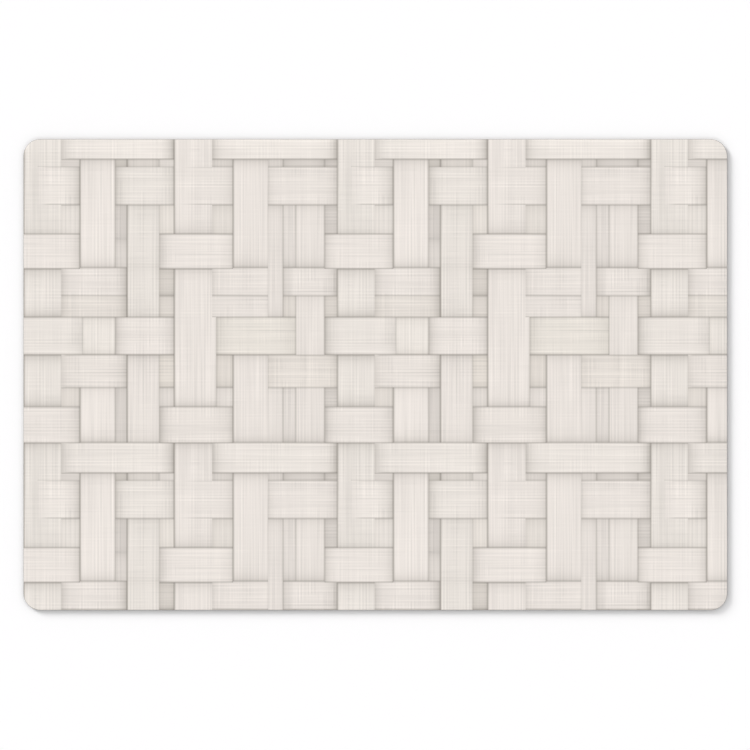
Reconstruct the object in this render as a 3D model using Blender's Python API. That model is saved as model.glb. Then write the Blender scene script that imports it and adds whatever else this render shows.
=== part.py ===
"""Flat vinyl placemat: one sheet with rounded corners and a softened rim.

Metres, +Z up. The sheet lies on the plane Z = 0, with its length along X and
its width along Y. The origin is the middle of the face that it rests on.
"""

import math

import bmesh
import bpy
from mathutils import Vector

# Outline, seen from above
LENGTH = 0.4572
WIDTH = 0.3060
CORNER_RADIUS = 0.0110
CORNER_SEGMENTS = 16

# Sheet
THICKNESS = 0.0016
TOP_ROUNDING = 0.0004
TOP_ROUNDING_SEGMENTS = 3
BOTTOM_ROUNDING = 0.0002
BOTTOM_ROUNDING_SEGMENTS = 2
SMOOTH_ANGLE = math.radians(40.0)

# Finish of the printed vinyl: warm off-white with a satin surface
VINYL_COLOUR = (0.765, 0.716, 0.670, 1.0)
VINYL_ROUGHNESS = 0.5
VINYL_METALLIC = 0.0

LEVEL_TOLERANCE = 1e-6


def clear_scene():
    """Remove whatever objects the open file holds."""
    for existing in list(bpy.data.objects):
        bpy.data.objects.remove(existing, do_unlink=True)


def make_vinyl():
    """Satin off-white vinyl."""
    material = bpy.data.materials.new("vinyl")
    material.use_nodes = True
    shader = material.node_tree.nodes["Principled BSDF"]
    shader.inputs["Base Color"].default_value = VINYL_COLOUR
    shader.inputs["Roughness"].default_value = VINYL_ROUGHNESS
    shader.inputs["Metallic"].default_value = VINYL_METALLIC
    material.diffuse_color = VINYL_COLOUR
    return material


def rim_edges(bm, level):
    """Edges that run round the sheet at one height."""
    return [
        edge
        for edge in bm.edges
        if all(abs(vert.co.z - level) < LEVEL_TOLERANCE for vert in edge.verts)
    ]


def make_outline(bm):
    """A rectangle on Z = 0 with its four corners rounded to arcs."""
    corners = [
        bm.verts.new((side_x * LENGTH / 2.0, side_y * WIDTH / 2.0, 0.0))
        for side_x, side_y in ((-1, -1), (1, -1), (1, 1), (-1, 1))
    ]
    bm.faces.new(corners)
    # At a right angle the arc starts one radius away from the corner
    bmesh.ops.bevel(
        bm,
        geom=corners,
        offset=CORNER_RADIUS,
        offset_type="OFFSET",
        affect="VERTICES",
        segments=CORNER_SEGMENTS,
        profile=0.5,
        material=-1,
        clamp_overlap=True,
    )


def raise_sheet(bm):
    """Extrude the outline to the sheet's thickness."""
    outline = list(bm.faces)
    raised = bmesh.ops.extrude_face_region(bm, geom=outline, use_keep_orig=True)
    top_verts = [item for item in raised["geom"] if isinstance(item, bmesh.types.BMVert)]
    bmesh.ops.translate(bm, verts=top_verts, vec=Vector((0.0, 0.0, THICKNESS)))
    bmesh.ops.recalc_face_normals(bm, faces=bm.faces)


def round_rim(bm, level, offset, segments):
    """Soften the arris round the sheet at one height."""
    bmesh.ops.bevel(
        bm,
        geom=rim_edges(bm, level),
        offset=offset,
        offset_type="OFFSET",
        affect="EDGES",
        segments=segments,
        profile=0.5,
        material=-1,
        clamp_overlap=True,
    )


def make_placemat():
    """The whole mat: one flat sheet, cut out of printed vinyl."""
    bm = bmesh.new()
    make_outline(bm)
    raise_sheet(bm)
    round_rim(bm, THICKNESS, TOP_ROUNDING, TOP_ROUNDING_SEGMENTS)
    round_rim(bm, 0.0, BOTTOM_ROUNDING, BOTTOM_ROUNDING_SEGMENTS)
    bmesh.ops.recalc_face_normals(bm, faces=bm.faces)

    mesh = bpy.data.meshes.new("placemat")
    bm.to_mesh(mesh)
    bm.free()
    mesh.shade_smooth()
    mesh.set_sharp_from_angle(angle=SMOOTH_ANGLE)
    mesh.materials.append(make_vinyl())

    placemat = bpy.data.objects.new("placemat", mesh)
    bpy.context.scene.collection.objects.link(placemat)
    return placemat


def main():
    clear_scene()
    make_placemat()


main()
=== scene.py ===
"""A vinyl placemat, printed with a weave of broad strips, lying flat under soft studio light.

The print repeats every eight inches or so both ways. Its chart below is written in millimetres,
X from the repeat's left and Y down from its top, as the print is looked at from above.
"""

import math
from collections import namedtuple

import bmesh
import bpy
from mathutils import Matrix, Vector


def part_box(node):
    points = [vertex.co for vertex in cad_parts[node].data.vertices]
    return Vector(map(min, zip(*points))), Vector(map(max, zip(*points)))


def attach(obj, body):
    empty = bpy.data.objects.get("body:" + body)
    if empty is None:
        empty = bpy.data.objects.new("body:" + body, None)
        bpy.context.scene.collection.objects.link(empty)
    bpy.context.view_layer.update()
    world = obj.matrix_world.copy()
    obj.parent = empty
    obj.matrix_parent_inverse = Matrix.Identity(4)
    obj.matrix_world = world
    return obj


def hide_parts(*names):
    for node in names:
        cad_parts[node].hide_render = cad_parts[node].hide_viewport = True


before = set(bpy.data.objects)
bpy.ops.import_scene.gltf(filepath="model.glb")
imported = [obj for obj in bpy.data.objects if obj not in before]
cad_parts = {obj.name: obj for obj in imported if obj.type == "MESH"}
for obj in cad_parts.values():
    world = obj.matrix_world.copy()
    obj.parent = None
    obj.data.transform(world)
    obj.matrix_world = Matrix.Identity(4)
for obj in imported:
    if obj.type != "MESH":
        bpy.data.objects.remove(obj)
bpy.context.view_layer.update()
MAT_LOW, MAT_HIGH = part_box("placemat")

bl_info = {
    "name": "Woven Print Placemat",
    "version": (1, 0, 0),
    "blender": (4, 5, 0),
    "location": "3D View > Sidebar > Placemat",
    "description": "Makes a printed vinyl placemat with a woven strip pattern, and a stage for it",
    "category": "Add Mesh",
}

MM = 0.001
SHEET_NAME = "placemat_sheet"
LENGTH = MAT_HIGH.x - MAT_LOW.x
WIDTH = MAT_HIGH.y - MAT_LOW.y
THICKNESS = MAT_HIGH.z - MAT_LOW.z
TOLERANCE = 1e-6

# Facets across the rounded arrises, how far down the upper one the print reaches as a share of its radius,
# and the angle above which an edge stays sharp. Below the print the arris takes the dark edge colour, which
# is partly painted shade that draws a dark outline round the mat
TOP_SEGMENTS, BOTTOM_SEGMENTS = 4, 2
PRINTED_ROUNDING = 0.1
SMOOTH_ANGLE = math.radians(40.0)

# The sheet's material slots, and what each printed face holds, up to four numbers under each name
PRINT_SLOT, EDGE_SLOT, BACK_SLOT = 0, 1, 2
FACE_LAYERS = (
    "strip", "lean", "lines", "shades",
    "bright_places", "bright_strengths", "crossing_places", "crossing_strengths",
)

# The map that the looks are baked through, and the gap round its islands as a share of its side
BAKE_MAP = "OFBake"
BAKE_MARGIN = 0.004

# Each thread's light and dark side swing by their own noise. Steps of more than one let neighbours differ
THREAD_STEP, THREAD_START = 1.37, 0.4
SWING_GAIN, SWING_START = 6.4, -2.65
UPRIGHT_LAYER, LEVEL_LAYER = 0.3, 1.3

# Fine and broad tones among the threads: their scale, how far they swing, and their layer of the noise
FINE_ACROSS, FINE_ALONG, FINE_REACH, FINE_LAYER = 2.1, 1.4, 2.0, 5.0
BROAD_ACROSS, BROAD_REACH, BROAD_LAYER = 0.35, 1.8, 9.0

# How much the threads across a strip show between the patches and in them
PATCH_EDGES = (-0.3, 0.3)
PATCH_RANGE = (0.25, 1.15)
PATCH_LAYER = 7.0

# A bright thread and the dim ones beside it, as shares of its width from its middle, and how strong they are
BRIGHT_END, BRIGHT = 0.9, 1.8
DIM_START, DIM_END, DIM = 0.4, 1.8, -0.8

# Brightness of the strip that shows where another one's end melts away
MELTED_TONE = 0.965

# How far a colour's red, green and blue change where a strip leans to green or to tan
GREEN_LEAN = (-0.020, 0.002, -0.018)
TAN_LEAN = (0.004, -0.002, -0.035)

# Emboss and slow drift of the face, the cut edge and the back. Scales are per metre, and sizes are in metres
FACE_GRAIN, FACE_DRIFT = {"Scale": 1900.0, "Stretch": 9.0}, {"Size": 0.035, "Layer": 2.0}
EDGE_GRAIN, EDGE_DRIFT = {"Scale": 5200.0, "Stretch": 2.0}, {"Size": 0.012, "Layer": 5.0}
BACK_GRAIN, BACK_DRIFT = {"Scale": 1400.0, "Stretch": 3.0}, {"Size": 0.06, "Layer": 9.0}
DRIFT_REACH = 1.5
BACK_EMBOSS = 2.0

# How far the emboss and the drift change the roughness and the colour
FACE_ROUGHNESS_SPREAD, EDGE_ROUGHNESS_SPREAD, BACK_ROUGHNESS_SPREAD = 0.12, 0.2, 0.16
DRIFT_SHARE, EDGE_DRIFT_SHARE = 0.15, 0.2
EDGE_DARKEST, BACK_DARKEST = 0.86, 0.9
EDGE_ROUGHNESS = 0.5
VINYL_IOR = 1.45

# The emboss has ridges both ways and finer pores, with the share of each in its height
WEFT_LAYER = 3.0
PORE_SCALE = 1.7
RIDGE_SHARE, PORE_SHARE = 0.35, 0.3

# Lighter threads are a little smoother, and stand a little higher
THREAD_SHEEN = -0.4
THREAD_RELIEF = 4.0

# The stage: floor, key light in degrees and metres, heights between which the sky fades, and camera
FLOOR_GAP = 0.05 * MM
FLOOR_ROUGHNESS = 0.9
KEY_SPREAD, KEY_AZIMUTH, KEY_ELEVATION, KEY_DISTANCE = 17.0, 138.0, 15.2, 3.0
SKY_FADE = (0.54, 0.92)
CAMERA_X, CAMERA_Y = -0.25 * MM, -0.2 * MM
CAMERA_CLIP = 50.0

# The print's repeat, and where its first corner lies from the mat's top left corner, in millimetres
REPEAT_X, REPEAT_Y = 203.5, 203.7
REPEAT_START_X, REPEAT_START_Y = 0.7, 0.9

# Sides of the upright strips, a to g from left to right
A_LEFT, A_RIGHT = -0.2, 23.9
B_LEFT, B_INNER, B_RIGHT = 36.1, 38.0, 58.95
C_LEFT, C_RIGHT = 66.7, 87.55
D_LEFT, D_RIGHT, D_OUTER = 97.3, 121.9, 124.55
E_LEFT, E_RIGHT = 135.5, 158.15
F_RIGHT = 167.95
G_LEFT, G_RIGHT = 176.25, 194.85
NEXT_A = REPEAT_X + A_LEFT
LAST_G = G_RIGHT - REPEAT_X

# Sides of the level strips, 1 to 7 from the top down
ROW_1_BOTTOM = 12.15
ROW_2_TOP, ROW_2_BOTTOM = 17.2, 41.8
ROW_3_TOP, ROW_3_BOTTOM = 60.75, 83.3
ROW_4_TOP, ROW_4_SPLIT = 82.6, 100.8
ROW_5_TOP, ROW_5_BOTTOM = 114.75, 139.1
ROW_6_BOTTOM = 160.4
ROW_7_TOP, ROW_7_BOTTOM = 172.95, 196.4
LAST_ROW_7 = ROW_7_BOTTOM - REPEAT_Y
NEXT_ROW_1 = 196.2
ROW_1_TOP = NEXT_ROW_1 - REPEAT_Y

# Where a strip starts, stops or changes its tone with no line
ROW_2_START = 8.5
G_STEP = 174.2
G_FOOT = 139.2
BC_STEP = 64.5
ROW_4_SHADE = 82.3
ROW_6_STEP = 144.6

# How dark the line along each side is, from 0 for none to 1
UPRIGHT_LINES = {
    A_LEFT: 0.75,
    NEXT_A: 0.75,
    A_RIGHT: 0.05,
    B_LEFT: 1.0,
    B_INNER: 0.35,
    B_RIGHT: 0.6,
    C_LEFT: 1.0,
    C_RIGHT: 0.35,
    D_LEFT: 1.0,
    D_RIGHT: 0.05,
    D_OUTER: 0.45,
    E_LEFT: 0.95,
    E_RIGHT: 0.25,
    F_RIGHT: 0.6,
    G_LEFT: 0.5,
    G_RIGHT: 0.55,
    LAST_G: 0.55,
}
LEVEL_LINES = {
    ROW_1_TOP: 0.65,
    LAST_ROW_7: 0.7,
    ROW_1_BOTTOM: 0.75,
    ROW_2_TOP: 0.45,
    ROW_2_BOTTOM: 0.65,
    ROW_3_TOP: 0.75,
    ROW_3_BOTTOM: 0.9,
    ROW_4_TOP: 0.65,
    ROW_4_SPLIT: 0.6,
    ROW_5_TOP: 0.7,
    ROW_5_BOTTOM: 0.9,
    ROW_6_BOTTOM: 0.6,
    ROW_7_TOP: 0.6,
    ROW_7_BOTTOM: 0.85,
    NEXT_ROW_1: 0.65,
}

# Bright threads that run the whole way along a column or a row: where, and how bright. Both follow the peaks
# that a measuring script found in a photo of the mat
UPRIGHT_THREADS = (
    (5.7, 0.4), (11.4, 0.7), (17.6, 0.4), (22.5, 1.0),
    (39.6, 0.8), (50.6, 0.4), (54.3, 1.4), (57.2, 0.7),
    (70.0, 0.7), (73.1, 0.9), (76.5, 0.6), (85.2, 0.9),
    (100.0, 0.9), (104.2, 0.4), (108.4, 0.5), (120.0, 1.0),
    (141.0, 0.6), (142.8, 0.4), (151.2, 0.9), (152.7, 0.6),
    (163.0, 0.8), (165.4, 1.2),
    (170.4, 0.6), (173.4, 0.4),
    (178.6, 1.4), (180.9, 0.6), (189.0, 0.4), (192.5, 0.8),
)
LEVEL_THREADS = (
    (-6.2, 1.0), (-3.8, 0.6), (4.6, 1.4), (11.0, 0.7),
    (18.4, 1.1), (23.7, 0.5), (29.8, 0.4), (40.4, 0.6),
    (62.6, 1.3), (66.4, 0.6), (73.0, 0.8), (79.4, 0.7),
    (84.8, 0.6), (86.2, 0.5), (89.0, 0.4), (94.5, 0.3),
    (102.5, 0.8), (104.5, 0.5), (106.5, 0.8), (108.5, 0.6),
    (119.7, 0.4), (127.4, 0.5), (132.2, 0.9), (137.0, 0.6),
    (142.3, 0.5), (150.0, 0.4), (152.2, 0.5), (158.4, 0.4),
    (174.9, 1.3), (178.0, 1.3), (181.7, 0.4), (185.7, 0.6),
)

# How many bright threads of one run a strip can show, and where those it lacks are put
MOST_THREADS = 4
FAR_AWAY = -900.0

# Which way a strip runs
UPRIGHT, LEVEL = 0.0, 1.0

# One visible length of a strip. tone is its brightness, as a share of the ground colour. start and end are
# the soft shades at its upper and lower ends, or its left and right ones. cross is how much the threads that
# run across it show, green and tan lean its colour, fade is the width over which its left end melts into what
# is under it, and sunk is the shade along both long sides, where the bottom layer shows between strips.
Strip = namedtuple(
    "Strip",
    "name run left right top bottom tone start end cross green tan fade sunk",
    defaults=(0, 0, 0, 0),
)


def glimpse(name, run, left, right, top, bottom, tone, shade, cross=0.4, green=0.0, tan=0.0):
    """A part of the bottom layer that shows between strips, shaded along all four sides."""
    return Strip(name, run, left, right, top, bottom, tone, shade, shade, cross, green, tan, 0, shade)


# A later strip lies over an earlier one. Most tones and end shades were measured on a photo of the mat, then
# corrected by scripts that compared a render with it
STRIPS = (
    # Bottom layer
    glimpse("rows 1-2 ab", LEVEL, A_RIGHT, B_LEFT, ROW_1_BOTTOM, ROW_2_TOP, 0.97, 0.45),
    glimpse("rows 1-2 bc", LEVEL, B_RIGHT, C_LEFT, ROW_1_BOTTOM, ROW_2_TOP, 0.98, 0.9, green=0.3, tan=0.3),
    glimpse("rows 1-2 c", UPRIGHT, C_LEFT, C_RIGHT, ROW_1_BOTTOM, ROW_2_TOP, 1, 0.75, green=0.1, tan=0.15),
    glimpse("rows 1-2 cd", LEVEL, C_RIGHT, D_LEFT, ROW_1_BOTTOM, ROW_2_TOP, 0.99, 0.4),
    glimpse("rows 1-2 de", UPRIGHT, D_RIGHT, E_LEFT, ROW_1_BOTTOM, ROW_2_TOP, 0.98, 0.7),
    glimpse("rows 1-2 ef", UPRIGHT, E_RIGHT, F_RIGHT, ROW_1_BOTTOM, ROW_2_TOP, 0.99, 0.55),
    glimpse("rows 1-2 g", LEVEL, F_RIGHT, G_RIGHT, ROW_1_BOTTOM, ROW_2_TOP, 1, 0.9),
    glimpse("rows 1-2 ga", LEVEL, G_RIGHT, NEXT_A, ROW_1_BOTTOM, ROW_2_TOP, 1, 0.95),
    glimpse("rows 2-3 ab", UPRIGHT, A_RIGHT, B_LEFT, ROW_2_BOTTOM, ROW_3_TOP, 1, 0.5, green=0.25),
    glimpse("rows 2-3 bc", UPRIGHT, B_RIGHT, C_LEFT, ROW_2_BOTTOM, BC_STEP, 0.87, 0.5, cross=1),
    glimpse("rows 3-4 bc", UPRIGHT, B_RIGHT, C_LEFT, BC_STEP, ROW_4_TOP, 0.96, 0.6, cross=0.6),
    glimpse("rows 2-3 cd", UPRIGHT, C_RIGHT, D_LEFT, ROW_2_BOTTOM, ROW_3_TOP, 1, 0.45, green=0.2, tan=0.3),
    glimpse("rows 2-3 de", UPRIGHT, D_RIGHT, E_LEFT, ROW_2_BOTTOM, ROW_3_TOP, 0.98, 0.65, green=0.2, tan=0.2),
    glimpse("rows 2-3 ga", LEVEL, G_RIGHT, NEXT_A, ROW_2_BOTTOM, ROW_3_TOP, 0.92, 0.9),
    glimpse("row 4 upper cd", LEVEL, C_RIGHT, D_LEFT, ROW_3_BOTTOM, ROW_4_SPLIT, 0.88, 0.75, tan=0.5),
    glimpse("row 4 lower cd", LEVEL, C_RIGHT, D_LEFT, ROW_4_SPLIT, ROW_5_TOP, 1, 0.85, tan=0.4),
    glimpse("row 4 lower fg", UPRIGHT, F_RIGHT, G_LEFT, ROW_4_SPLIT, ROW_5_TOP, 1, 0.65, tan=0.35),
    glimpse("row 4 lower ga", LEVEL, G_RIGHT, NEXT_A, ROW_4_SPLIT, ROW_5_TOP, 0.96, 0.8, tan=0.4),
    glimpse("row 6 cd", LEVEL, C_RIGHT, D_LEFT, ROW_5_BOTTOM, ROW_6_BOTTOM, 1, 0.75, tan=0.7),
    glimpse("row 6 de", UPRIGHT, D_OUTER, E_LEFT, ROW_5_BOTTOM, ROW_6_BOTTOM, 1, 0.85, tan=0.5),
    glimpse("rows 6-7 ab", UPRIGHT, A_RIGHT, B_LEFT, ROW_6_BOTTOM, ROW_7_TOP, 1, 0.6, tan=0.3),
    glimpse("rows 6-1 bc", UPRIGHT, B_RIGHT, C_LEFT, ROW_6_BOTTOM, NEXT_ROW_1, 0.9, 0.6),
    glimpse("rows 6-7 cd", UPRIGHT, C_RIGHT, D_LEFT, ROW_6_BOTTOM, ROW_7_TOP, 1, 0.7),
    glimpse("rows 6-7 de", UPRIGHT, D_OUTER, E_LEFT, ROW_6_BOTTOM, ROW_7_TOP, 1, 0.5),
    glimpse("rows 6-7 ga", LEVEL, G_RIGHT, NEXT_A, ROW_6_BOTTOM, ROW_7_TOP, 0.92, 0.8),
    # Upright strips
    Strip("a upper", UPRIGHT, A_LEFT, A_RIGHT, LAST_ROW_7, ROW_3_TOP, 0.94, 1.3, 0.6, 0.7, 0.35),
    Strip("a top right", UPRIGHT, ROW_2_START, A_RIGHT, LAST_ROW_7, ROW_2_TOP, 0.95, 1.1, 0, 0.7, 0.35),
    Strip("a middle", UPRIGHT, A_LEFT, A_RIGHT, ROW_3_BOTTOM, ROW_5_TOP, 0.99, 1.3, 1.6, 0.7, 0.3),
    Strip("a lower", UPRIGHT, A_LEFT, A_RIGHT, ROW_5_BOTTOM, ROW_7_TOP, 0.96, 1.5, 1.5, 0.5, 0.3),
    Strip("b upper", UPRIGHT, B_LEFT, B_RIGHT, ROW_1_BOTTOM, ROW_4_TOP, 1, 1.1, 1.2, 0.3),
    Strip("b middle", UPRIGHT, B_INNER, B_RIGHT, ROW_5_TOP, ROW_5_BOTTOM, 1.02, 0.8, 0.9, 0.6, 0.3, 0.1),
    Strip("b lower", UPRIGHT, B_LEFT, B_RIGHT, ROW_6_BOTTOM, NEXT_ROW_1, 1.01, 0.7, 1.4, 0.3),
    Strip("c upper", UPRIGHT, C_LEFT, C_RIGHT, ROW_2_BOTTOM, ROW_4_SHADE, 0.95, 0.6, 0.5, 0.7, 0.35),
    Strip("c middle", UPRIGHT, C_LEFT, C_RIGHT, ROW_4_SHADE, ROW_5_TOP, 0.95, 0.3, 0.8, 0.7, 0.35),
    Strip("c lower", UPRIGHT, C_LEFT, C_RIGHT, ROW_5_BOTTOM, NEXT_ROW_1, 0.95, 1.3, 0.8, 0.4),
    Strip("d upper", UPRIGHT, D_LEFT, D_RIGHT, LAST_ROW_7, ROW_3_TOP, 0.96, 1.1, 1.1, 0.6),
    Strip("d lower", UPRIGHT, D_LEFT, D_OUTER, ROW_3_BOTTOM, ROW_7_TOP, 0.98, 1, 1.2, 0.4),
    Strip("e upper", UPRIGHT, E_LEFT, E_RIGHT, ROW_1_BOTTOM, ROW_4_TOP, 0.98, 1.3, 1.3, 0.3),
    Strip("e lower", UPRIGHT, E_LEFT, E_RIGHT, ROW_5_BOTTOM, NEXT_ROW_1, 0.98, 1, 1.2, 0.3),
    Strip("f lower", UPRIGHT, E_RIGHT, F_RIGHT, ROW_6_BOTTOM, NEXT_ROW_1, 0.95, 0.5, 0.9, 0.5),
    Strip("g shaded upper", UPRIGHT, F_RIGHT, G_LEFT, ROW_2_BOTTOM, ROW_4_TOP, 0.9, 0.5, 1.2, 0.5),
    Strip("g shaded lower", UPRIGHT, F_RIGHT, G_LEFT, ROW_6_BOTTOM, NEXT_ROW_1, 0.92, 0.7, 1.3, 0.5),
    Strip("g upper", UPRIGHT, G_LEFT, G_RIGHT, ROW_2_BOTTOM, ROW_4_TOP, 0.97, 0.8, 1.2, 0.3),
    Strip("g middle", UPRIGHT, G_LEFT, G_RIGHT, ROW_4_SPLIT, G_FOOT, 0.97, 0.5, 0.2, 0.3),
    Strip("g lower", UPRIGHT, G_LEFT, G_RIGHT, ROW_6_BOTTOM, NEXT_ROW_1, 0.95, 0.1, 1, 0.3),
    # Level strips
    Strip("row 4 upper left", LEVEL, A_RIGHT, C_LEFT, ROW_4_TOP, ROW_4_SPLIT, 0.98, 1.3, 2.1, 0.9),
    Strip("row 4 lower left", LEVEL, A_RIGHT, C_LEFT, ROW_4_SPLIT, ROW_5_TOP, 0.95, 1.1, 2, 0.6, 0.1, 0.35),
    Strip("row 4 upper middle", LEVEL, D_RIGHT, E_RIGHT, ROW_4_TOP, ROW_4_SPLIT, 0.97, 0.9, 0.1, 0.9),
    Strip("row 4 lower middle", LEVEL, D_RIGHT, E_RIGHT, ROW_4_SPLIT, ROW_5_TOP, 0.95, 0.3, 0.1, 0.7),
    Strip("row 4 right", LEVEL, F_RIGHT, NEXT_A, ROW_4_TOP, ROW_4_SPLIT, 0.97, 0.3, 2, 1.2),
    Strip("row 4 right start", LEVEL, F_RIGHT, G_STEP, ROW_4_TOP, ROW_4_SPLIT, 0.93, 0.8, 0, 1.2),
    Strip("row 1 left", LEVEL, A_RIGHT, D_LEFT, ROW_1_TOP, ROW_1_BOTTOM, 0.99, 1.3, 2.3, 0.7, 0.2, 0, 7),
    Strip("row 1 right", LEVEL, D_RIGHT, NEXT_A, ROW_1_TOP, ROW_1_BOTTOM, 0.99, 1.6, 2.3, 0.7, 0.2),
    Strip("row 2 a", LEVEL, ROW_2_START, B_LEFT, ROW_2_TOP, ROW_2_BOTTOM, 1, 0, 1.6, 0.9, 0.15, 0, 9),
    Strip("row 2 bcd", LEVEL, B_RIGHT, D_LEFT, ROW_2_TOP, ROW_2_BOTTOM, 0.98, 1.4, 1.2, 0.8, 0.25),
    Strip("row 2 d", LEVEL, D_LEFT, E_LEFT, ROW_2_TOP, ROW_2_BOTTOM, 0.98, 0, 0.9, 0.6, 0, 0, 20),
    Strip("row 2 fg", LEVEL, E_RIGHT, NEXT_A, ROW_2_TOP, ROW_2_BOTTOM, 0.97, 0.7, 1.2, 0.7),
    Strip("row 3 left", LEVEL, LAST_G, B_LEFT, ROW_3_TOP, ROW_3_BOTTOM, 1, 1.3, 1.1, 0.6),
    Strip("row 3 middle", LEVEL, C_RIGHT, E_LEFT, ROW_3_TOP, ROW_3_BOTTOM, 0.99, 1.4, 0.9, 0.7),
    Strip("f upper", UPRIGHT, E_RIGHT, F_RIGHT, ROW_2_BOTTOM, ROW_5_TOP, 0.92, 0.9, 0.8, 0.4),
    Strip("row 5 left", LEVEL, LAST_G, B_INNER, ROW_5_TOP, ROW_5_BOTTOM, 0.98, 1.7, 0.8, 0.6, 0.2),
    Strip("row 5 middle", LEVEL, B_RIGHT, D_LEFT, ROW_5_TOP, ROW_5_BOTTOM, 0.99, 1.5, 1.2, 0.8),
    Strip("row 5 right", LEVEL, D_OUTER, G_LEFT, ROW_5_TOP, ROW_5_BOTTOM, 0.96, 1, 0.8, 0.8, 0.7, 0.4),
    Strip("row 6 left", LEVEL, A_RIGHT, C_LEFT, ROW_5_BOTTOM, ROW_6_BOTTOM, 0.96, 0.9, 1.5, 0.7, 0, 0.1, 4),
    Strip("row 6 right top", LEVEL, E_RIGHT, NEXT_A, ROW_5_BOTTOM, ROW_6_STEP, 0.9, 0.7, 1.5, 1, 0, 0.4),
    Strip("row 6 right", LEVEL, E_RIGHT, NEXT_A, ROW_6_STEP, ROW_6_BOTTOM, 0.96, 0.6, 1.3, 1, 0, 0.4),
    Strip("row 7 left", LEVEL, LAST_G, B_LEFT, ROW_7_TOP, ROW_7_BOTTOM, 0.97, 1.6, 1.2, 0.7),
    Strip("row 7 middle", LEVEL, C_RIGHT, E_LEFT, ROW_7_TOP, ROW_7_BOTTOM, 0.97, 1.8, 1.3, 0.8, 0, 0.1),
)


class PLACEMAT_PG_sheet(bpy.types.PropertyGroup):
    """Sizes of the vinyl sheet."""

    corner_radius: bpy.props.FloatProperty(
        name="Corner Radius",
        description="Radius of the sheet's four corners",
        default=11.0 * MM,
        min=0.0,
        unit="LENGTH",
        subtype="DISTANCE",
    )
    corner_segments: bpy.props.IntProperty(
        name="Corner Segments",
        description="Faces round each corner",
        default=16,
        min=2,
    )
    top_rounding: bpy.props.FloatProperty(
        name="Top Rounding",
        description="Radius of the arris round the printed face",
        default=0.4 * MM,
        min=0.0,
        unit="LENGTH",
        subtype="DISTANCE",
    )
    bottom_rounding: bpy.props.FloatProperty(
        name="Bottom Rounding",
        description="Radius of the arris round the back",
        default=0.2 * MM,
        min=0.0,
        unit="LENGTH",
        subtype="DISTANCE",
    )


class PLACEMAT_PG_print(bpy.types.PropertyGroup):
    """Colours and thread sizes of the woven print."""

    ground: bpy.props.FloatVectorProperty(
        name="Ground",
        description="Colour of a strip whose tone is 1",
        default=(0.829, 0.773, 0.7265),
        size=3,
        subtype="COLOR",
    )
    shadow: bpy.props.FloatVectorProperty(
        name="Shadow",
        description="Ink of the lines and shades between the strips",
        default=(0.200, 0.178, 0.152),
        size=3,
        subtype="COLOR",
    )
    line_reach: bpy.props.FloatProperty(
        name="Line Reach",
        description="How far a dark line reaches onto the strips on both sides of it",
        default=1.1 * MM,
        unit="LENGTH",
        subtype="DISTANCE",
    )
    shade_reach: bpy.props.FloatProperty(
        name="Shade Reach",
        description="Distance over which the soft shade of a strip's end falls to about a third",
        default=3.4 * MM,
        unit="LENGTH",
        subtype="DISTANCE",
    )
    line_strength: bpy.props.FloatProperty(
        name="Line Strength",
        description="Share of shadow ink in the darkest line",
        default=0.57,
        subtype="FACTOR",
        min=0.0,
        max=1.0,
    )
    shade_strength: bpy.props.FloatProperty(
        name="Shade Strength",
        description="Share of shadow ink where a soft shade starts",
        default=0.28,
        subtype="FACTOR",
        min=0.0,
        max=1.0,
    )
    thread_pitch: bpy.props.FloatProperty(
        name="Thread Pitch",
        description="Distance from one thread to the next",
        default=2.1 * MM,
        unit="LENGTH",
        subtype="DISTANCE",
    )
    thread_run: bpy.props.FloatProperty(
        name="Thread Run",
        description="Length over which a thread keeps its tone",
        default=60.0 * MM,
        unit="LENGTH",
        subtype="DISTANCE",
    )
    patch: bpy.props.FloatProperty(
        name="Patch",
        description="Size of the patches in which the threads across a strip show more",
        default=12.0 * MM,
        unit="LENGTH",
        subtype="DISTANCE",
    )
    thread_strength: bpy.props.FloatProperty(
        name="Thread Strength",
        description="How much the threads lighten and darken a strip",
        default=0.03,
        subtype="FACTOR",
        min=0.0,
        max=1.0,
    )
    accent_width: bpy.props.FloatProperty(
        name="Bright Thread Width",
        description="Width of the bright threads",
        default=1.0 * MM,
        unit="LENGTH",
        subtype="DISTANCE",
    )
    accent_strength: bpy.props.FloatProperty(
        name="Bright Thread Strength",
        description="How much lighter the bright threads are",
        default=0.035,
        subtype="FACTOR",
        min=0.0,
        max=1.0,
    )


class PLACEMAT_PG_vinyl(bpy.types.PropertyGroup):
    """Finish of the vinyl."""

    roughness: bpy.props.FloatProperty(
        name="Face Roughness",
        description="Roughness of the printed face",
        default=0.5,
        subtype="FACTOR",
        min=0.0,
        max=1.0,
    )
    back_roughness: bpy.props.FloatProperty(
        name="Back Roughness",
        description="Roughness of the plain back",
        default=0.68,
        subtype="FACTOR",
        min=0.0,
        max=1.0,
    )
    back_colour: bpy.props.FloatVectorProperty(
        name="Back Colour",
        description="Colour of the plain back",
        default=(0.58, 0.54, 0.49),
        size=3,
        subtype="COLOR",
    )
    # Partly the cut vinyl's own colour and partly painted shade: dark, so that the rim and the arris draw a
    # shaded outline round the mat and throw little light onto the floor beside it
    edge_and_shade_colour: bpy.props.FloatVectorProperty(
        name="Edge Colour",
        description="Colour of the vinyl where the sheet is cut",
        default=(0.17, 0.157, 0.14),
        size=3,
        subtype="COLOR",
    )
    emboss_depth: bpy.props.FloatProperty(
        name="Emboss Depth",
        description="Depth of the fine emboss of the face",
        default=0.03 * MM,
        unit="LENGTH",
        subtype="DISTANCE",
    )


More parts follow.
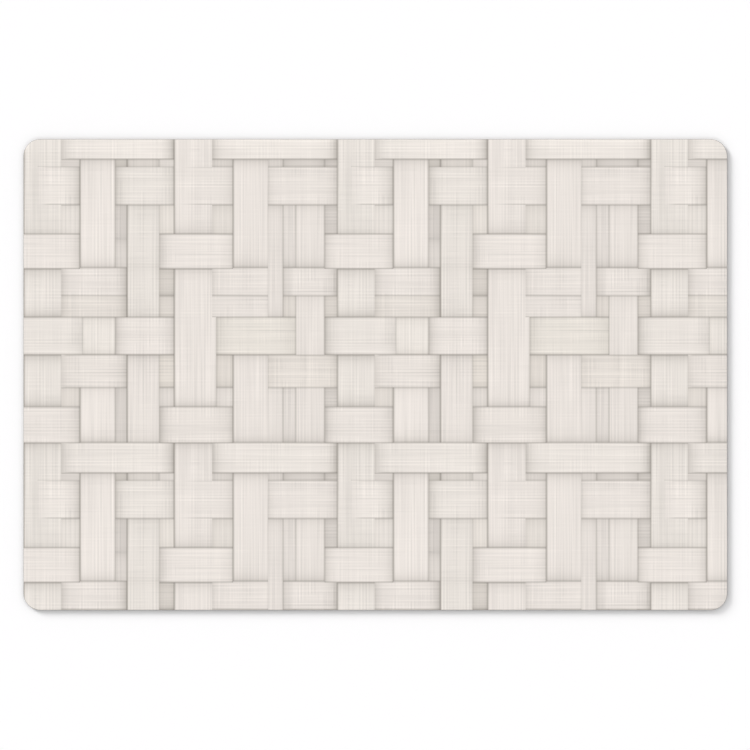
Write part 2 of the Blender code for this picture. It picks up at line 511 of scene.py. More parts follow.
class PLACEMAT_PG_stage(bpy.types.PropertyGroup):
    """Floor, lights and camera."""

    view_width: bpy.props.FloatProperty(
        name="View Width",
        description="Width that the camera takes in at the mat",
        default=487.1 * MM,
        unit="LENGTH",
        subtype="DISTANCE",
    )
    lens: bpy.props.FloatProperty(
        name="Lens",
        description="Focal length of the camera in millimetres",
        default=135.0,
    )
    floor_side: bpy.props.FloatProperty(
        name="Floor Side",
        description="Side of the square floor",
        default=12.0,
        unit="LENGTH",
        subtype="DISTANCE",
    )
    floor_colour: bpy.props.FloatVectorProperty(
        name="Floor Colour",
        description="Colour of the plain pale floor",
        default=(0.97, 0.965, 0.97),
        size=3,
        subtype="COLOR",
    )
    sky_low: bpy.props.FloatProperty(
        name="Sky Low Down",
        description="Strength of the even light that comes in low from all round",
        default=1.305,
    )
    sky_high: bpy.props.FloatProperty(
        name="Sky Overhead",
        description="Strength of the even light from straight above",
        default=0.1,
    )
    key: bpy.props.FloatProperty(
        name="Key Light",
        description="Strength of the low soft light from the upper left",
        default=3.4,
    )


class Wiring:
    """Adds nodes to one node tree and joins them up."""

    def __init__(self, tree):
        self.tree = tree

    def node(self, kind, **settings):
        """A new node, with its settings."""
        node = self.tree.nodes.new(kind)
        for name, value in settings.items():
            setattr(node, name, value)
        return node

    def feed(self, socket, value):
        """Join a socket to another one, or set its number or colour."""
        if isinstance(value, bpy.types.NodeSocket):
            self.tree.links.new(value, socket)
        else:
            socket.default_value = value

    def math(self, operation, *values, clamp=False):
        """The result of a Math node."""
        node = self.node("ShaderNodeMath", operation=operation, use_clamp=clamp)
        for socket, value in zip(node.inputs, values):
            self.feed(socket, value)
        return node.outputs["Value"]

    def ramp(self, value, start, end, low, high):
        """low up to start, then an eased change to high at end."""
        node = self.node("ShaderNodeMapRange", interpolation_type="SMOOTHSTEP")
        for name, number in (
            ("Value", value),
            ("From Min", start),
            ("From Max", end),
            ("To Min", low),
            ("To Max", high),
        ):
            self.feed(node.inputs[name], number)
        return node.outputs["Result"]

    def mix(self, factor, first, second):
        """A blend of two colours."""
        node = self.node("ShaderNodeMix", data_type="RGBA")
        self.feed(node.inputs["Factor"], factor)
        colours = [socket for socket in node.inputs if socket.type == "RGBA"]
        self.feed(colours[0], first)
        self.feed(colours[1], second)
        return next(socket for socket in node.outputs if socket.type == "RGBA")

    def blend(self, factor, first, second):
        """A blend of two numbers."""
        node = self.node("ShaderNodeMix", data_type="FLOAT")
        self.feed(node.inputs["Factor"], factor)
        self.feed(node.inputs["A"], first)
        self.feed(node.inputs["B"], second)
        return node.outputs["Result"]

    def vector(self, x, y, z):
        """Three numbers as one vector."""
        node = self.node("ShaderNodeCombineXYZ")
        for socket, value in zip(node.inputs, (x, y, z)):
            self.feed(socket, value)
        return node.outputs["Vector"]

    def parts(self, vector):
        """The X, Y and Z of a vector."""
        node = self.node("ShaderNodeSeparateXYZ")
        self.feed(node.inputs["Vector"], vector)
        return node.outputs["X"], node.outputs["Y"], node.outputs["Z"]

    def map(self, name):
        """One of the piece's UV maps."""
        return self.node("ShaderNodeUVMap", uv_map=name).outputs["UV"]

    def attribute(self, name):
        """The four numbers that a face holds under one name."""
        node = self.node("ShaderNodeAttribute", attribute_type="GEOMETRY", attribute_name=name)
        split = self.node("ShaderNodeSeparateColor")
        self.feed(split.inputs["Color"], node.outputs["Color"])
        return (*split.outputs[:3], node.outputs["Alpha"])

    def noise(self, vector, scale=1.0, detail=0.0):
        """Smooth noise about one half."""
        node = self.node("ShaderNodeTexNoise", noise_dimensions="3D")
        self.feed(node.inputs["Vector"], vector)
        self.feed(node.inputs["Scale"], scale)
        self.feed(node.inputs["Detail"], detail)
        return node.outputs["Fac"]

    def noise_about_zero(self, vector, reach, detail=0.0):
        """Smooth noise from -reach to reach."""
        return self.math("MULTIPLY_ADD", self.noise(vector, detail=detail), 2.0 * reach, -reach)

    def group(self, tree, **values):
        """One of the shared effects, with this material's values. A name's underscores stand for spaces."""
        node = self.node("ShaderNodeGroup", node_tree=tree)
        for name, value in values.items():
            self.feed(node.inputs[name.replace("_", " ")], value)
        return node.outputs


def new_group(name, inputs, outputs):
    """An empty node group with its sockets, its wiring and its two end nodes."""
    tree = bpy.data.node_groups.new(name, "ShaderNodeTree")
    for direction, sockets in (("INPUT", inputs), ("OUTPUT", outputs)):
        for label, kind in sockets:
            tree.interface.new_socket(name=label, in_out=direction, socket_type=f"NodeSocket{kind}")
    wiring = Wiring(tree)
    entry = wiring.node("NodeGroupInput")
    leave = wiring.node("NodeGroupOutput")
    return tree, wiring, entry.outputs, leave.inputs


def shared_group(name, build):
    """A node group by name, built the first time that it is asked for."""
    return bpy.data.node_groups.get(name) or build(name)


def build_threads(name):
    """Threads side by side, each with a dark gap beside it and a tone of its own, about zero."""
    tree, wiring, given, result = new_group(
        name,
        (("Across", "Float"), ("Along", "Float"), ("Pitch", "Float"), ("Run", "Float"), ("Layer", "Float")),
        (("Tone", "Float"),),
    )
    across = wiring.math("DIVIDE", given["Across"], given["Pitch"])
    along = wiring.math("DIVIDE", given["Along"], given["Run"])
    number = wiring.math("FLOOR", across)
    turn = wiring.math("MULTIPLY", wiring.math("FRACT", across), math.tau)
    thread_place = wiring.vector(
        wiring.math("MULTIPLY_ADD", number, THREAD_STEP, THREAD_START),
        along,
        given["Layer"],
    )
    fine_place = wiring.vector(
        wiring.math("MULTIPLY", across, FINE_ACROSS),
        wiring.math("MULTIPLY", along, FINE_ALONG),
        wiring.math("ADD", given["Layer"], FINE_LAYER),
    )
    broad_place = wiring.vector(
        wiring.math("MULTIPLY", across, BROAD_ACROSS),
        along,
        wiring.math("ADD", given["Layer"], BROAD_LAYER),
    )
    own = wiring.noise(thread_place)
    swing = wiring.math("MULTIPLY_ADD", own, SWING_GAIN, SWING_START)
    fine = wiring.noise_about_zero(fine_place, FINE_REACH)
    broad = wiring.noise_about_zero(broad_place, BROAD_REACH)
    tone = wiring.math("MULTIPLY_ADD", wiring.math("SINE", turn), swing, wiring.math("ADD", fine, broad))
    wiring.feed(result["Tone"], tone)
    return tree


def build_bright_threads(name):
    """Up to four bright threads, each with a dim thread on both sides."""
    places = [(f"Place {i}", "Float") for i in range(MOST_THREADS)]
    strengths = [(f"Strength {i}", "Float") for i in range(MOST_THREADS)]
    tree, wiring, given, result = new_group(
        name,
        (("Across", "Float"), ("Width", "Float"), *places, *strengths),
        (("Tone", "Float"),),
    )
    total = 0.0
    for i in range(MOST_THREADS):
        away = wiring.math("ABSOLUTE", wiring.math("SUBTRACT", given["Across"], given[f"Place {i}"]))
        share = wiring.math("DIVIDE", away, given["Width"])
        bright = wiring.ramp(share, 0.0, BRIGHT_END, BRIGHT, 0.0)
        dim = wiring.ramp(share, DIM_START, DIM_END, DIM, 0.0)
        thread = wiring.math("ADD", bright, dim)
        total = wiring.math("MULTIPLY_ADD", thread, given[f"Strength {i}"], total)
    wiring.feed(result["Tone"], total)
    return tree


def build_side_mark(name):
    """Light left beside one side of a strip, by its dark line and its soft shade."""
    tree, wiring, given, result = new_group(
        name,
        (
            ("Distance", "Float"),
            ("Line", "Float"),
            ("Line Reach", "Float"),
            ("Shade", "Float"),
            ("Shade Reach", "Float"),
        ),
        (("Light", "Float"),),
    )
    line = wiring.ramp(given["Distance"], 0.0, given["Line Reach"], given["Line"], 0.0)
    falling = wiring.math("DIVIDE", given["Distance"], wiring.math("MULTIPLY", given["Shade Reach"], -1.0))
    shade = wiring.math("MULTIPLY", wiring.math("EXPONENT", falling), given["Shade"])
    kept = wiring.math("MULTIPLY", wiring.math("SUBTRACT", 1.0, line), wiring.math("SUBTRACT", 1.0, shade))
    wiring.feed(result["Light"], kept)
    return tree


def build_fine_grain(name):
    """Fine emboss of the vinyl: a height and a mask about one half."""
    tree, wiring, given, result = new_group(
        name,
        (("Vector", "Vector"), ("Scale", "Float"), ("Stretch", "Float")),
        (("Height", "Float"), ("Mask", "Float")),
    )
    x, y, z = wiring.parts(given["Vector"])
    warp_place = wiring.vector(x, wiring.math("DIVIDE", y, given["Stretch"]), z)
    weft_place = wiring.vector(
        wiring.math("DIVIDE", x, given["Stretch"]),
        y,
        wiring.math("ADD", z, WEFT_LAYER),
    )
    warp = wiring.noise(warp_place, scale=given["Scale"], detail=1.0)
    weft = wiring.noise(weft_place, scale=given["Scale"], detail=1.0)
    pore_scale = wiring.math("MULTIPLY", given["Scale"], PORE_SCALE)
    pores = wiring.noise(given["Vector"], scale=pore_scale, detail=2.0)
    woven = wiring.math("ADD", warp, weft)
    height = wiring.math("MULTIPLY_ADD", woven, RIDGE_SHARE, wiring.math("MULTIPLY", pores, PORE_SHARE))
    wiring.feed(result["Height"], height)
    wiring.feed(result["Mask"], wiring.math("MULTIPLY", woven, 0.5))
    return tree


def build_drift(name):
    """A slow change over the surface, about zero."""
    tree, wiring, given, result = new_group(
        name,
        (("Vector", "Vector"), ("Size", "Float"), ("Layer", "Float")),
        (("Drift", "Float"),),
    )
    x, y, z = wiring.parts(given["Vector"])
    place = wiring.vector(
        wiring.math("DIVIDE", x, given["Size"]),
        wiring.math("DIVIDE", y, given["Size"]),
        wiring.math("ADD", given["Layer"], z),
    )
    wiring.feed(result["Drift"], wiring.noise_about_zero(place, DRIFT_REACH, detail=1.0))
    return tree


def new_material(name):
    """An empty material, its wiring and its shader."""
    material = bpy.data.materials.new(name)
    material.use_nodes = True
    return material, Wiring(material.node_tree), material.node_tree.nodes["Principled BSDF"]


def opaque(colour):
    """A colour with full alpha."""
    return (*colour, 1.0)


def emboss(wiring, height, depth):
    """A bump of a height over a depth in metres."""
    bump = wiring.node("ShaderNodeBump")
    bump.inputs["Strength"].default_value = 1.0
    bump.inputs["Distance"].default_value = depth
    wiring.feed(bump.inputs["Height"], height)
    return bump.outputs["Normal"]


def make_print_material(print_settings, vinyl):
    """The woven print: strips of fine threads, with a dark line and a soft shade where they cross."""
    material, wiring, shader = new_material("woven print")
    threads = shared_group("Strip Threads", build_threads)
    bright_threads = shared_group("Bright Threads", build_bright_threads)
    side_mark = shared_group("Side Mark", build_side_mark)
    fine_grain = shared_group("Fine Grain", build_fine_grain)
    drift = shared_group("Slow Drift", build_drift)

    repeat = wiring.map("Repeat")
    across_x, down_y, _ = wiring.parts(repeat)
    from_left, from_top, _ = wiring.parts(wiring.map("From Top Left"))
    to_right, to_bottom, _ = wiring.parts(wiring.map("To Bottom Right"))
    run, tone, cross, fade = wiring.attribute("strip")
    green, tan, _, _ = wiring.attribute("lean")
    lines = wiring.attribute("lines")
    shades = wiring.attribute("shades")

    # Where a strip's left end melts into the one under it, its own threads give way to those across
    shown = wiring.ramp(from_left, 0.0, fade, 0.0, 1.0)
    sizes = {"Pitch": print_settings.thread_pitch, "Run": print_settings.thread_run}
    upright = wiring.group(threads, Across=across_x, Along=down_y, Layer=UPRIGHT_LAYER, **sizes)["Tone"]
    level = wiring.group(threads, Across=down_y, Along=across_x, Layer=LEVEL_LAYER, **sizes)["Tone"]
    patches = wiring.group(drift, Vector=repeat, Size=print_settings.patch, Layer=PATCH_LAYER)["Drift"]
    patchy = wiring.math("MULTIPLY", cross, wiring.ramp(patches, *PATCH_EDGES, *PATCH_RANGE))

    def threads_of(names, across, fine):
        """The threads of one run, fine and bright, where names are the bright ones' numbers."""
        bright = wiring.group(
            bright_threads,
            Across=across,
            Width=print_settings.accent_width,
            **{f"Place_{i}": place for i, place in enumerate(wiring.attribute(f"{names}_places"))},
            **{f"Strength_{i}": light for i, light in enumerate(wiring.attribute(f"{names}_strengths"))},
        )["Tone"]
        bright = wiring.math("MULTIPLY", bright, print_settings.accent_strength)
        return wiring.math("MULTIPLY_ADD", fine, print_settings.thread_strength, bright)

    own = threads_of("bright", wiring.blend(run, across_x, down_y), wiring.blend(run, upright, level))
    other = threads_of("crossing", wiring.blend(run, down_y, across_x), wiring.blend(run, level, upright))
    other = wiring.math("MULTIPLY", other, wiring.blend(shown, 1.0, patchy))
    weave_tone = wiring.math("MULTIPLY_ADD", own, wiring.blend(shown, patchy, 1.0), other)

    # Lines and shades along the four sides. Those of the long sides melt away with the strip
    kept = [
        wiring.group(
            side_mark,
            Distance=distance,
            Line=wiring.math("MULTIPLY", line, print_settings.line_strength),
            Line_Reach=print_settings.line_reach,
            Shade=wiring.math("MULTIPLY", shade, print_settings.shade_strength),
            Shade_Reach=print_settings.shade_reach,
        )["Light"]
        for distance, line, shade in zip((from_left, to_right, from_top, to_bottom), lines, shades)
    ]
    long_sides = wiring.blend(shown, 1.0, wiring.math("MULTIPLY", kept[2], kept[3]))
    light = wiring.math("MULTIPLY", wiring.math("MULTIPLY", kept[0], kept[1]), long_sides)
    ink = wiring.math("SUBTRACT", 1.0, light)

    # Colour: the ground, leaned to green or tan, then its tone, then the shadow ink
    object_place = wiring.node("ShaderNodeTexCoord").outputs["Object"]
    wander = wiring.group(drift, Vector=object_place, **FACE_DRIFT)["Drift"]
    green = wiring.math("MULTIPLY_ADD", wander, DRIFT_SHARE, green, clamp=True)
    base = wiring.mix(green, opaque(print_settings.ground), opaque(leaned(print_settings.ground, GREEN_LEAN)))
    base = wiring.mix(tan, base, opaque(leaned(print_settings.ground, TAN_LEAN)))
    strip_tone = wiring.blend(shown, MELTED_TONE, tone)
    value = wiring.math("ADD", strip_tone, weave_tone)
    scaled = wiring.node("ShaderNodeVectorMath", operation="SCALE")
    wiring.feed(scaled.inputs[0], base)
    wiring.feed(scaled.inputs["Scale"], value)
    colour = wiring.mix(ink, scaled.outputs["Vector"], opaque(print_settings.shadow))
    wiring.feed(shader.inputs["Base Color"], colour)

    grain = wiring.group(fine_grain, Vector=object_place, **FACE_GRAIN)
    smoothest = vinyl.roughness - FACE_ROUGHNESS_SPREAD / 2.0
    roughness = wiring.math("MULTIPLY_ADD", grain["Mask"], FACE_ROUGHNESS_SPREAD, smoothest)
    roughness = wiring.math("MULTIPLY_ADD", weave_tone, THREAD_SHEEN, roughness)
    wiring.feed(shader.inputs["Roughness"], roughness)
    height = wiring.math("MULTIPLY_ADD", weave_tone, THREAD_RELIEF, grain["Height"])
    wiring.feed(shader.inputs["Normal"], emboss(wiring, height, vinyl.emboss_depth))
    shader.inputs["IOR"].default_value = VINYL_IOR
    return material


def make_edge_material(vinyl):
    """The cut edge and the arris under the print: bare vinyl, a little scuffed along the cut, in a dark
    colour that is partly painted shade round the mat.
    """
    material, wiring, shader = new_material("cut edge")
    fine_grain = shared_group("Fine Grain", build_fine_grain)
    drift = shared_group("Slow Drift", build_drift)
    object_place = wiring.node("ShaderNodeTexCoord").outputs["Object"]
    grain = wiring.group(fine_grain, Vector=object_place, **EDGE_GRAIN)
    worn = wiring.group(drift, Vector=object_place, **EDGE_DRIFT)["Drift"]
    worn = wiring.math("MULTIPLY_ADD", worn, EDGE_DRIFT_SHARE, grain["Mask"], clamp=True)
    # The edge colour is partly painted shade: its darkness stands for the shade along the mat's outline
    pale = opaque(vinyl.edge_and_shade_colour)
    dark = opaque(tuple(channel * EDGE_DARKEST for channel in vinyl.edge_and_shade_colour))
    wiring.feed(shader.inputs["Base Color"], wiring.mix(worn, pale, dark))
    roughness = wiring.math("MULTIPLY_ADD", worn, EDGE_ROUGHNESS_SPREAD, EDGE_ROUGHNESS)
    wiring.feed(shader.inputs["Roughness"], roughness)
    wiring.feed(shader.inputs["Normal"], emboss(wiring, grain["Height"], vinyl.emboss_depth))
    return material


def make_back_material(vinyl):
    """The plain back: matt off-white vinyl with a fine emboss that grips the table."""
    material, wiring, shader = new_material("plain back")
    fine_grain = shared_group("Fine Grain", build_fine_grain)
    drift = shared_group("Slow Drift", build_drift)
    object_place = wiring.node("ShaderNodeTexCoord").outputs["Object"]
    grain = wiring.group(fine_grain, Vector=object_place, **BACK_GRAIN)
    wander = wiring.group(drift, Vector=object_place, **BACK_DRIFT)["Drift"]
    shade = wiring.math("MULTIPLY_ADD", wander, DRIFT_SHARE, grain["Mask"], clamp=True)
    pale = opaque(vinyl.back_colour)
    dark = opaque(tuple(channel * BACK_DARKEST for channel in vinyl.back_colour))
    wiring.feed(shader.inputs["Base Color"], wiring.mix(shade, pale, dark))
    smoothest = vinyl.back_roughness - BACK_ROUGHNESS_SPREAD / 2.0
    roughness = wiring.math("MULTIPLY_ADD", grain["Mask"], BACK_ROUGHNESS_SPREAD, smoothest)
    wiring.feed(shader.inputs["Roughness"], roughness)
    wiring.feed(shader.inputs["Normal"], emboss(wiring, grain["Height"], vinyl.emboss_depth * BACK_EMBOSS))
    return material


def leaned(colour, lean):
    """A colour with each channel changed by its share."""
    return tuple(channel * (1.0 + change) for channel, change in zip(colour, lean))


def to_print(x, y):
    """A place on the mat, in metres, as millimetres right of and below the first repeat's corner."""
    return (x - MAT_LOW.x) / MM - REPEAT_START_X, (MAT_HIGH.y - y) / MM - REPEAT_START_Y


def strip_at(x, y):
    """The strip that shows at a place on the mat, and the corner of the repeat that it belongs to."""
    right, down = to_print(x, y)
    column, row = math.floor(right / REPEAT_X), math.floor(down / REPEAT_Y)
    for strip in reversed(STRIPS):
        for corner_x in (column * REPEAT_X, (column + 1) * REPEAT_X, (column - 1) * REPEAT_X):
            for corner_y in (row * REPEAT_Y, (row + 1) * REPEAT_Y, (row - 1) * REPEAT_Y):
                inside = strip.left <= right - corner_x < strip.right
                if inside and strip.top <= down - corner_y < strip.bottom:
                    return strip, corner_x, corner_y
    raise RuntimeError(f"No strip is charted at {right:.1f}, {down:.1f} mm")


def repeats_of(places, step, start, length):
    """The places of one repeat, in millimetres, carried over the whole length of the mat."""
    count = math.ceil(length / MM / step) + 1
    found = {
        round(start + place + turn * step, 3)
        for turn in range(-1, count)
        for place in places
    }
    return sorted(place for place in found if 0.0 < place < length / MM)


def cut_across(bm, point, normal):
    """Cut every face where a plane passes."""
    bmesh.ops.bisect_plane(
        bm,
        geom=[*bm.verts, *bm.edges, *bm.faces],
        dist=TOLERANCE,
        plane_co=point,
        plane_no=normal,
    )


def cut_strips(bm):
    """Cut the sheet along the sides of the printed strips, so that each strip has faces of its own."""
    sides_x = {side for strip in STRIPS for side in (strip.left, strip.right)}
    sides_y = {side for strip in STRIPS for side in (strip.top, strip.bottom)}
    for place in repeats_of(sides_x, REPEAT_X, REPEAT_START_X, LENGTH):
        cut_across(bm, Vector((MAT_LOW.x + place * MM, 0.0, 0.0)), Vector((1.0, 0.0, 0.0)))
    for place in repeats_of(sides_y, REPEAT_Y, REPEAT_START_Y, WIDTH):
        cut_across(bm, Vector((0.0, MAT_HIGH.y - place * MM, 0.0)), Vector((0.0, 1.0, 0.0)))


def round_rim(bm, level, radius, segments):
    """Round the arris that runs round the sheet at one height."""
    rim = [e for e in bm.edges if all(abs(v.co.z - level) < TOLERANCE for v in e.verts)]
    bmesh.ops.bevel(
        bm,
        geom=rim,
        offset=radius,
        offset_type="OFFSET",
        affect="EDGES",
        segments=segments,
        profile=0.5,
        material=-1,
        clamp_overlap=True,
    )


def shape_sheet(bm, sizes):
    """A flat sheet with round corners and a softened rim, in the space of the solid mat."""
    bmesh.ops.create_grid(bm, x_segments=1, y_segments=1, size=0.5)
    bmesh.ops.scale(bm, verts=bm.verts, vec=Vector((LENGTH, WIDTH, 1.0)))
    centre = (MAT_LOW + MAT_HIGH) / 2.0
    bmesh.ops.translate(bm, verts=bm.verts, vec=Vector((centre.x, centre.y, MAT_LOW.z)))
    bmesh.ops.bevel(
        bm,
        geom=list(bm.verts),
        offset=sizes.corner_radius,
        offset_type="OFFSET",
        affect="VERTICES",
        segments=sizes.corner_segments,
        profile=0.5,
        material=-1,
        clamp_overlap=True,
    )
    raised = bmesh.ops.extrude_face_region(bm, geom=list(bm.faces), use_keep_orig=True)
    top = [item for item in raised["geom"] if isinstance(item, bmesh.types.BMVert)]
    bmesh.ops.translate(bm, verts=top, vec=Vector((0.0, 0.0, THICKNESS)))
    bmesh.ops.recalc_face_normals(bm, faces=bm.faces)
    round_rim(bm, MAT_HIGH.z, sizes.top_rounding, TOP_SEGMENTS)
    round_rim(bm, MAT_LOW.z, sizes.bottom_rounding, BOTTOM_SEGMENTS)


def sort_faces(bm, sizes):
    """Give each face the slot of the print, the cut edge or the plain back."""
    # Below the print level the arris and the rim take the edge slot, whose dark colour is partly painted
    # shade
    print_level = MAT_HIGH.z - sizes.top_rounding * PRINTED_ROUNDING
    back_level = MAT_LOW.z + TOLERANCE
    for face in bm.faces:
        face.smooth = True
        if all(vert.co.z >= print_level for vert in face.verts):
            face.material_index = PRINT_SLOT
        elif all(vert.co.z <= back_level for vert in face.verts):
            face.material_index = BACK_SLOT
        else:
            face.material_index = EDGE_SLOT


def side_marks(strip):
    """Line and soft shade of a strip's left, right, top and bottom sides."""
    marks = []
    for side, place in enumerate((strip.left, strip.right, strip.top, strip.bottom)):
        upright_side = side < 2
        line = (UPRIGHT_LINES if upright_side else LEVEL_LINES).get(place, 0.0)
        is_end = upright_side == (strip.run == LEVEL)
        if is_end:
            shade = strip.end if side % 2 else strip.start
        else:
            shade = strip.sunk
        marks.append((line, shade))
    return marks


def bright_threads_of(strip, run):
    """Where the brightest threads of one run lie on a strip, in metres, and how bright they are."""
    if run == UPRIGHT:
        threads = [thread for thread in UPRIGHT_THREADS if strip.left < thread[0] < strip.right]
    else:
        threads = [thread for thread in LEVEL_THREADS if strip.top < thread[0] < strip.bottom]
    threads = sorted(threads, key=lambda thread: thread[1], reverse=True)[:MOST_THREADS]
    threads += [(FAR_AWAY, 0.0)] * (MOST_THREADS - len(threads))
    return [place * MM for place, _ in threads], [strength for _, strength in threads]


def chart_print(bm):
    """Write each printed face's strip into its maps and its numbers."""
    repeat_map = bm.loops.layers.uv.new("Repeat")
    near_map = bm.loops.layers.uv.new("From Top Left")
    far_map = bm.loops.layers.uv.new("To Bottom Right")
    layers = {name: bm.faces.layers.float_color.new(name) for name in FACE_LAYERS}
    for face in bm.faces:
        if face.material_index != PRINT_SLOT:
            continue
        middle = face.calc_center_median()
        strip, corner_x, corner_y = strip_at(middle.x, middle.y)
        marks = side_marks(strip)
        bright_places, bright_strengths = bright_threads_of(strip, strip.run)
        crossing_places, crossing_strengths = bright_threads_of(strip, LEVEL - strip.run)
        face[layers["strip"]] = (strip.run, strip.tone, strip.cross, max(strip.fade * MM, TOLERANCE))
        face[layers["lean"]] = (strip.green, strip.tan, 0.0, 0.0)
        face[layers["bright_places"]] = bright_places
        face[layers["bright_strengths"]] = bright_strengths
        face[layers["crossing_places"]] = crossing_places
        face[layers["crossing_strengths"]] = crossing_strengths
        face[layers["lines"]] = [line for line, _ in marks]
        face[layers["shades"]] = [shade for _, shade in marks]
        for loop in face.loops:
            right, down = to_print(loop.vert.co.x, loop.vert.co.y)
            x, y = right - corner_x, down - corner_y
            loop[repeat_map].uv = (x * MM, y * MM)
            loop[near_map].uv = ((x - strip.left) * MM, (y - strip.top) * MM)
            loop[far_map].uv = ((strip.right - x) * MM, (strip.bottom - y) * MM)


def unrolled(place, corner_radius):
    """A vertex of the printed face or the rim laid out flat, with the rim folded out round the face."""
    flat = (place - (MAT_LOW + MAT_HIGH) / 2.0).xy
    down = MAT_HIGH.z - place.z
    if down < TOLERANCE:
        return flat
    limit_x, limit_y = LENGTH / 2.0 - corner_radius, WIDTH / 2.0 - corner_radius
    core = Vector((min(max(flat.x, -limit_x), limit_x), min(max(flat.y, -limit_y), limit_y)))
    out = flat - core
    inward = corner_radius - out.length
    reach = corner_radius + down + (inward if down > THICKNESS / 2.0 else -inward)
    return core + out.normalized() * reach


def chart_bake(bm, sizes):
    """A map without overlaps: the printed face with its rim over the whole width, the back above it."""
    bake_map = bm.loops.layers.uv.new(BAKE_MAP)
    rim = THICKNESS + sizes.bottom_rounding
    face_scale = (1.0 - 2.0 * BAKE_MARGIN) / (LENGTH + 2.0 * rim)
    face_height = (WIDTH + 2.0 * rim) * face_scale
    face_middle = Vector((0.5, BAKE_MARGIN + face_height / 2.0))
    back_height = 1.0 - face_height - 3.0 * BAKE_MARGIN
    back_scale = back_height / WIDTH
    back_middle = Vector((0.5, 1.0 - BAKE_MARGIN - back_height / 2.0))
    for face in bm.faces:
        for loop in face.loops:
            place = loop.vert.co
            if face.material_index == BACK_SLOT:
                seen_from_below = Vector((-place.x, place.y))
                loop[bake_map].uv = back_middle + seen_from_below * back_scale
            else:
                loop[bake_map].uv = face_middle + unrolled(place, sizes.corner_radius) * face_scale


def make_sheet(context):
    """The placemat: one sheet of printed vinyl."""
    scene = context.scene
    sizes, print_settings, vinyl = scene.placemat_sheet, scene.placemat_print, scene.placemat_vinyl
    bm = bmesh.new()
    shape_sheet(bm, sizes)
    cut_strips(bm)
    sort_faces(bm, sizes)
    chart_print(bm)
    chart_bake(bm, sizes)
    mesh = bpy.data.meshes.new(SHEET_NAME)
    bm.to_mesh(mesh)
    bm.free()
    mesh.set_sharp_from_angle(angle=SMOOTH_ANGLE)
    for material in (
        make_print_material(print_settings, vinyl),
        make_edge_material(vinyl),
        make_back_material(vinyl),
    ):
        mesh.materials.append(material)
    sheet = bpy.data.objects.new(SHEET_NAME, mesh)
    scene.collection.objects.link(sheet)

    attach(sheet, "root")
    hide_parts("placemat")


def make_floor(context):
    """A plain pale floor just under the mat."""
    settings = context.scene.placemat_stage
    bm = bmesh.new()
    bmesh.ops.create_grid(bm, x_segments=1, y_segments=1, size=settings.floor_side / 2.0)
    bmesh.ops.translate(bm, verts=bm.verts, vec=Vector((0.0, 0.0, MAT_LOW.z - FLOOR_GAP)))
    mesh = bpy.data.meshes.new("floor")
    bm.to_mesh(mesh)
    bm.free()
    material, _, shader = new_material("pale floor")
    shader.inputs["Base Color"].default_value = opaque(settings.floor_colour)
    shader.inputs["Roughness"].default_value = FLOOR_ROUGHNESS
    shader.inputs["Specular IOR Level"].default_value = 0.0
    mesh.materials.append(material)
    floor = bpy.data.objects.new("floor", mesh)
    context.scene.collection.objects.link(floor)


def make_key(context):
    """A broad light far away: its azimuth is measured from +X towards +Y, its elevation from the floor."""
    light = bpy.data.lights.new("key", "SUN")
    light.energy = context.scene.placemat_stage.key
    light.angle = math.radians(KEY_SPREAD)
    lamp = bpy.data.objects.new("key", light)
    around, up = math.radians(KEY_AZIMUTH), math.radians(KEY_ELEVATION)
    towards = Vector((math.cos(around) * math.cos(up), math.sin(around) * math.cos(up), math.sin(up)))
    turned = towards.to_track_quat("Z", "Y").to_matrix().to_4x4()
    lamp.matrix_world = Matrix.Translation(towards * KEY_DISTANCE) @ turned
    context.scene.collection.objects.link(lamp)


def make_sky(context):
    """Even light all round, stronger low down, as soft boxes round a table give."""
    settings = context.scene.placemat_stage
    world = bpy.data.worlds.new("studio")
    world.use_nodes = True
    wiring = Wiring(world.node_tree)
    _, _, height = wiring.parts(wiring.node("ShaderNodeTexCoord").outputs["Generated"])
    strength = wiring.ramp(height, *SKY_FADE, settings.sky_low, settings.sky_high)
    background = world.node_tree.nodes["Background"]
    background.inputs["Color"].default_value = (1.0, 1.0, 1.0, 1.0)
    wiring.feed(background.inputs["Strength"], strength)
    context.scene.world = world


def make_camera(context):
    """A camera straight above the mat, with a long lens."""
    settings = context.scene.placemat_stage
    camera = bpy.data.cameras.new("camera")
    camera.lens = settings.lens
    camera.clip_end = CAMERA_CLIP
    height = settings.view_width * camera.lens / camera.sensor_width
    holder = bpy.data.objects.new("camera", camera)
    holder.location = (CAMERA_X, CAMERA_Y, MAT_HIGH.z + height)
    context.scene.collection.objects.link(holder)
    context.scene.camera = holder


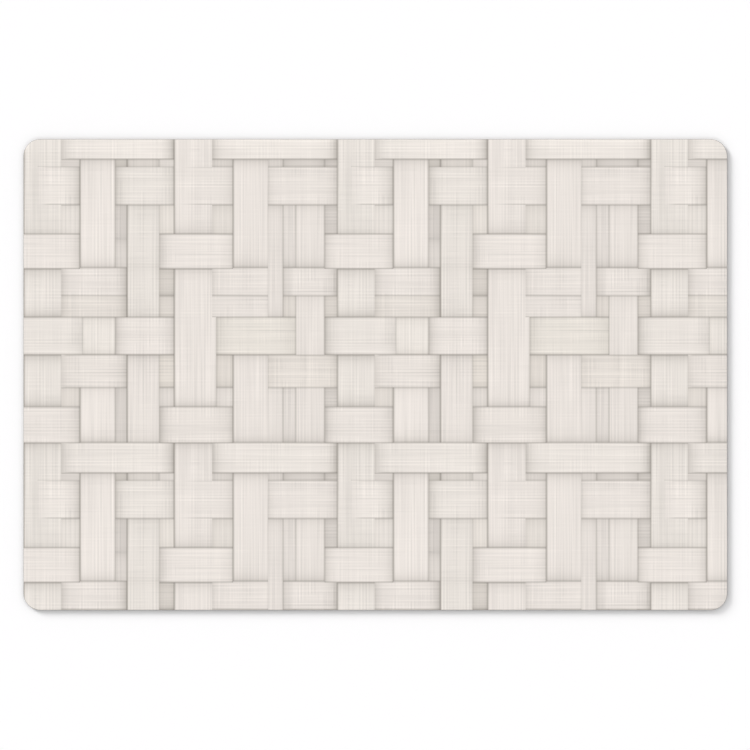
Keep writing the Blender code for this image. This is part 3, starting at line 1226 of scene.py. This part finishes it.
def make_stage(context):
    """Floor, sky, key light and camera."""
    make_floor(context)
    make_sky(context)
    make_key(context)
    make_camera(context)
    context.scene.view_settings.view_transform = "Standard"
    context.scene.view_settings.look = "None"


class PLACEMAT_OT_sheet(bpy.types.Operator):
    """Make the printed vinyl sheet"""

    bl_idname = "placemat.sheet"
    bl_label = "Make Placemat"
    bl_options = {"REGISTER", "UNDO"}

    def execute(self, context):
        make_sheet(context)
        return {"FINISHED"}


class PLACEMAT_OT_stage(bpy.types.Operator):
    """Make the floor, the lights and the camera"""

    bl_idname = "placemat.stage"
    bl_label = "Make Stage"
    bl_options = {"REGISTER", "UNDO"}

    def execute(self, context):
        make_stage(context)
        return {"FINISHED"}


class PLACEMAT_PT_panel(bpy.types.Panel):
    """Settings of the placemat and its stage"""

    bl_label = "Placemat"
    bl_idname = "PLACEMAT_PT_panel"
    bl_space_type = "VIEW_3D"
    bl_region_type = "UI"
    bl_category = "Placemat"

    def draw(self, context):
        layout = self.layout
        layout.use_property_split = True
        scene = context.scene
        for title, settings in (
            ("Sheet", scene.placemat_sheet),
            ("Print", scene.placemat_print),
            ("Vinyl", scene.placemat_vinyl),
            ("Stage", scene.placemat_stage),
        ):
            box = layout.box()
            box.label(text=title)
            for name in settings.__annotations__:
                box.prop(settings, name)
        layout.operator(PLACEMAT_OT_sheet.bl_idname)
        layout.operator(PLACEMAT_OT_stage.bl_idname)


SETTINGS = {
    "placemat_sheet": PLACEMAT_PG_sheet,
    "placemat_print": PLACEMAT_PG_print,
    "placemat_vinyl": PLACEMAT_PG_vinyl,
    "placemat_stage": PLACEMAT_PG_stage,
}
CLASSES = (*SETTINGS.values(), PLACEMAT_OT_sheet, PLACEMAT_OT_stage, PLACEMAT_PT_panel)


def register():
    for cls in CLASSES:
        bpy.utils.register_class(cls)
    for name, cls in SETTINGS.items():
        setattr(bpy.types.Scene, name, bpy.props.PointerProperty(type=cls))


def unregister():
    for name in SETTINGS:
        delattr(bpy.types.Scene, name)
    for cls in reversed(CLASSES):
        bpy.utils.unregister_class(cls)


def main():
    register()
    bpy.ops.placemat.sheet()
    bpy.ops.placemat.stage()


if __name__ == "__main__":
    main()
